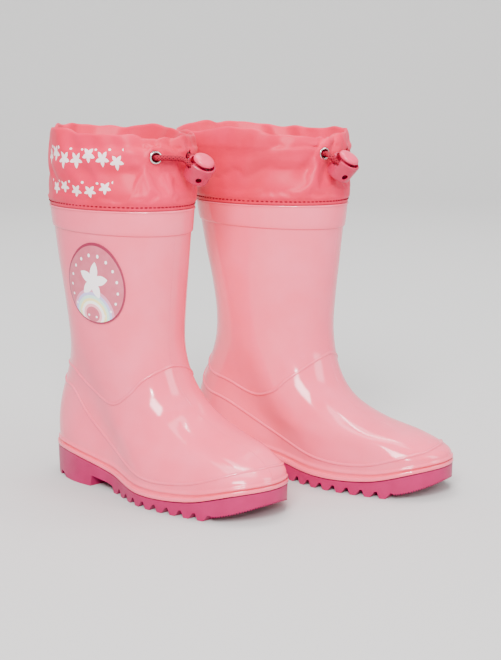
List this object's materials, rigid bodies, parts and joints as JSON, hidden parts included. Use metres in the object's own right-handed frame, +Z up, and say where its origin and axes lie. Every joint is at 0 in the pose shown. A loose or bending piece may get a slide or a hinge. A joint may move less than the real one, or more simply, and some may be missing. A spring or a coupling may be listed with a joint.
{
  "type": "child's rain boots with drawstring collars",
  "caption": "Child's pink PVC rain boots with lugged soles, oval badges and nylon collars closed by a drawcord and a spring cord lock.",
  "frame": {"origin": "middle of the pair's footprint, on the ground", "axes": "+Z up, toes point to -Y, the wearer's right boot stands at -X and the left boot at +X"},
  "size_m": [0.1864, 0.2528, 0.2318],
  "materials": {
    "upper": "glossy moulded soft PVC, light pink",
    "outsole": "satin moulded PVC, dark pink",
    "lining": "brushed cotton knit",
    "insole": "felt over foam",
    "collar": "satin-faced coated nylon taffeta, coral",
    "eyelet": "nickel-plated steel",
    "drawcord": "braided polyester, two tones of magenta",
    "lock_body": "satin moulded plastic, pink",
    "lock_button": "satin moulded plastic, lighter pink",
    "spring": "spring steel wire",
    "badge": "printed PVC transfer"
  },
  "bodies": {
    "right_boot": {"right_outsole": "outsole", "right_upper": "upper", "right_lining": "lining", "right_insole": "insole", "right_collar": "collar", "right_eyelet_a": "eyelet", "right_eyelet_b": "eyelet", "right_washer_a": "eyelet", "right_washer_b": "eyelet", "right_drawcord": "drawcord", "right_badge": "badge"},
    "right_lock": {"right_lock_body": "lock_body", "right_lock_spring": "spring"},
    "right_button": {"right_lock_button": "lock_button"},
    "left_boot": {"left_outsole": "outsole", "left_upper": "upper", "left_lining": "lining", "left_insole": "insole", "left_collar": "collar", "left_eyelet_a": "eyelet", "left_eyelet_b": "eyelet", "left_washer_a": "eyelet", "left_washer_b": "eyelet", "left_drawcord": "drawcord", "left_badge": "badge"},
    "left_lock": {"left_lock_body": "lock_body", "left_lock_spring": "spring"},
    "left_button": {"left_lock_button": "lock_button"}
  },
  "joints": [
    {"name": "right_lock_slide", "type": "slide", "parent": "right_boot", "child": "right_lock", "axis": [-0.1028, -0.9947, 0], "range_m": [0, 0.02], "deforming": ["right_drawcord"]},
    {"name": "right_button_press", "type": "slide", "parent": "right_lock", "child": "right_button", "axis": [0.0604, 0.5847, -0.809], "range_m": [0, 0.002], "stiffness_N_per_m": 600, "springref_m": -0.002, "deforming": ["right_lock_spring"]},
    {"name": "left_lock_slide", "type": "slide", "parent": "left_boot", "child": "left_lock", "axis": [0.1028, -0.9947, 0], "range_m": [0, 0.02], "deforming": ["left_drawcord"]},
    {"name": "left_button_press", "type": "slide", "parent": "left_lock", "child": "left_button", "axis": [-0.0604, 0.5847, -0.809], "range_m": [0, 0.002], "stiffness_N_per_m": 600, "springref_m": -0.002, "deforming": ["left_lock_spring"]},
    {"name": "left_boot_lift", "type": "slide", "parent": "right_boot", "child": "left_boot", "axis": [0, 0, 1], "range_m": [0, 0.3]}
  ]
}
